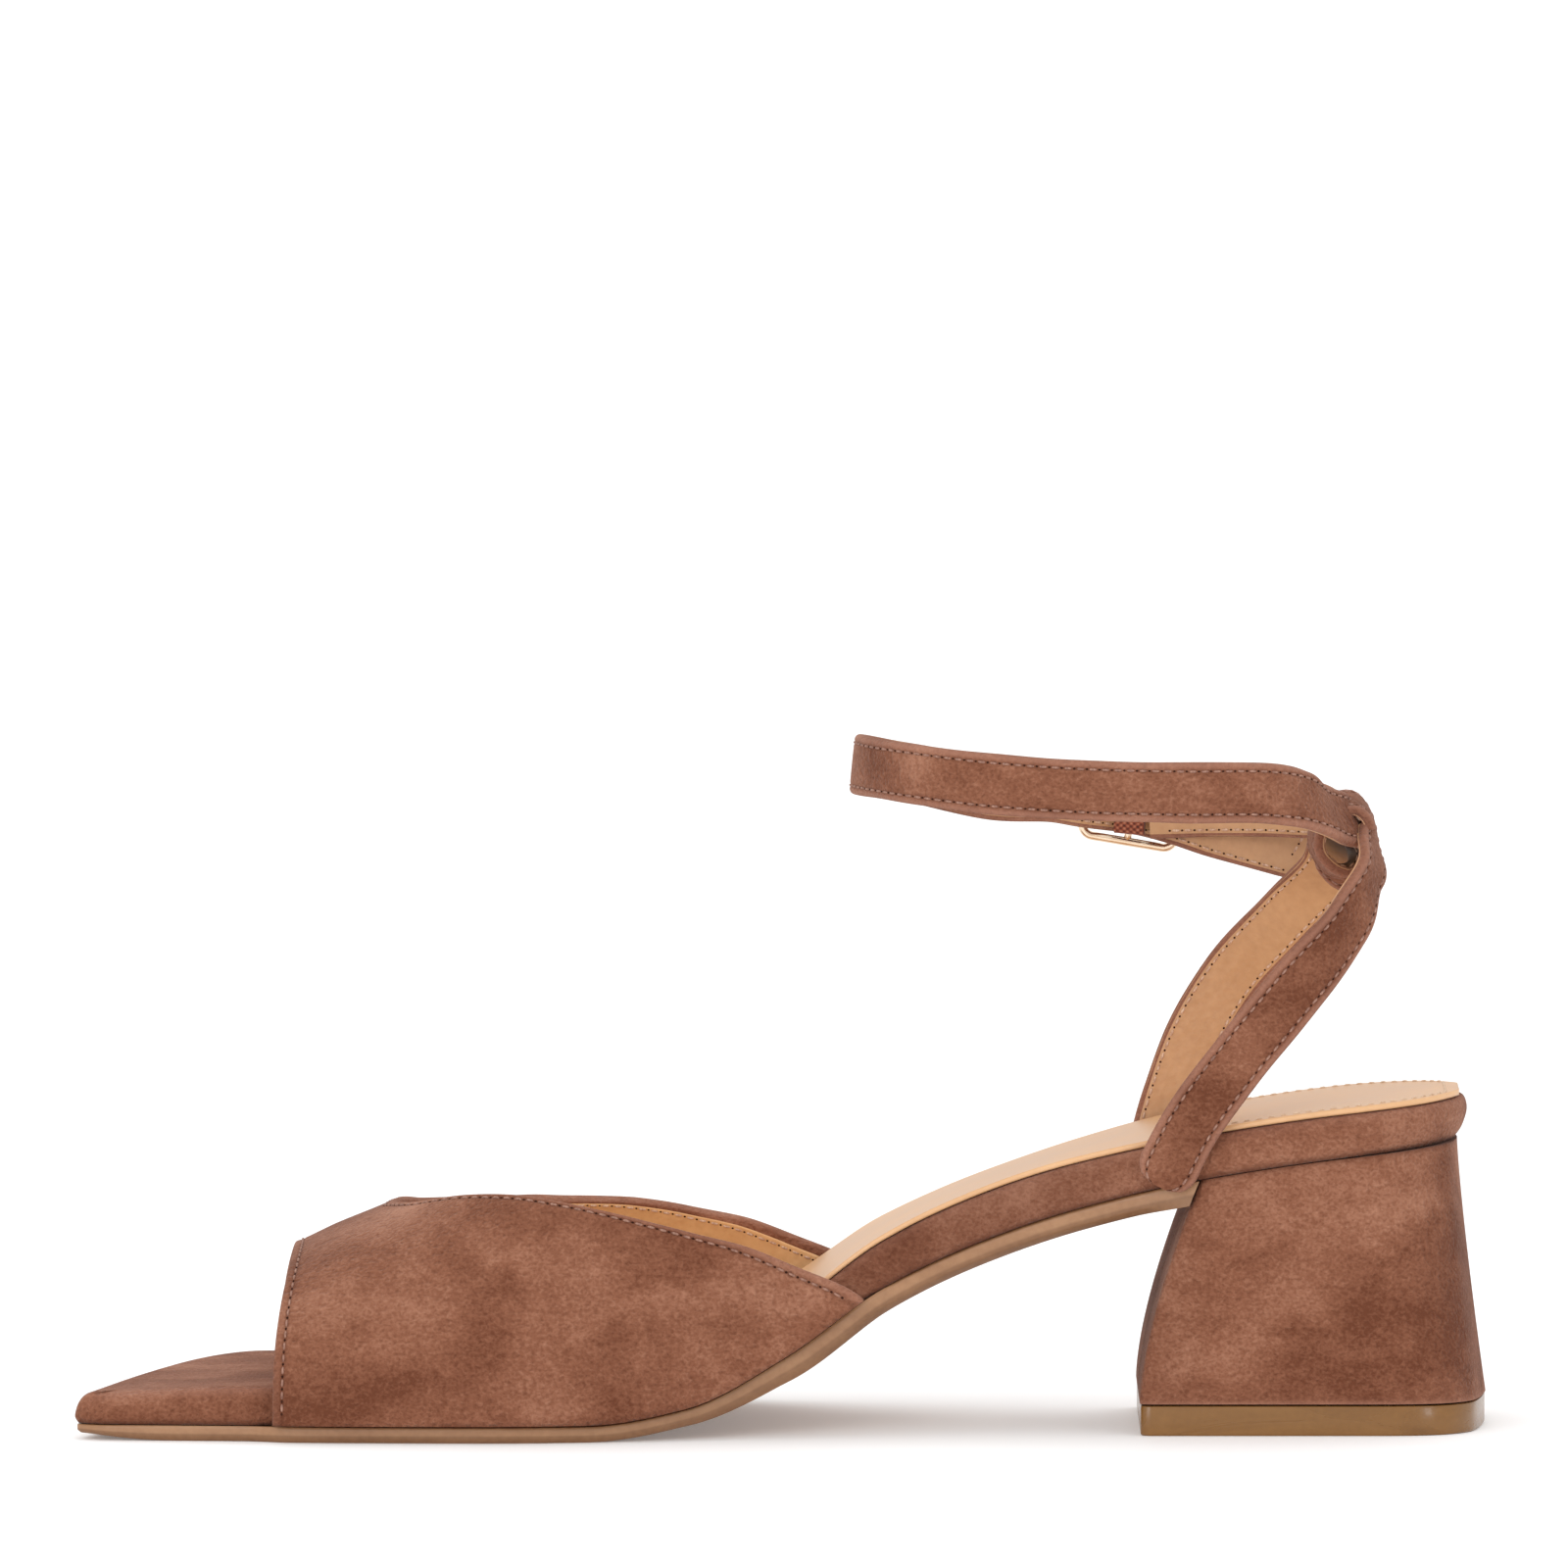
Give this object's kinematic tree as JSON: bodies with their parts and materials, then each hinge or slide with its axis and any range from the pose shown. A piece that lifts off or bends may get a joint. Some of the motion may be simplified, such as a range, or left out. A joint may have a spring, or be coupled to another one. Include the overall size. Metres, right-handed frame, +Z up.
{
  "type": "heeled sandal",
  "caption": "Open toe suede sandal with one wide vamp, two back straps that cross behind the ankle and buckle round it, and a flared block heel.",
  "frame": {"origin": "middle of the shoe's box, on the floor that it stands on", "axes": "+X from the toe to the heel, +Y to the outer side of the right foot, +Z up"},
  "size_m": [0.2432, 0.0838, 0.1192],
  "materials": {
    "suede": "napped warm brown suede",
    "lining_leather": "smooth tan lining leather",
    "sole_leather": "waxed tan sole leather",
    "top_piece": "glossy tan hard rubber",
    "elastic": "woven red brown elastic tape",
    "buckle_metal": "polished pale gold"
  },
  "bodies": {
    "root": {"outsole": "sole_leather", "insole": "suede", "sock_lining": "lining_leather", "heel": "suede", "heel_top_piece": "top_piece", "vamp": "suede", "back_straps": "suede", "buckle_elastic": "elastic", "buckle_frame": "buckle_metal", "buckle_prong": "buckle_metal"}
  },
  "joints": []
}
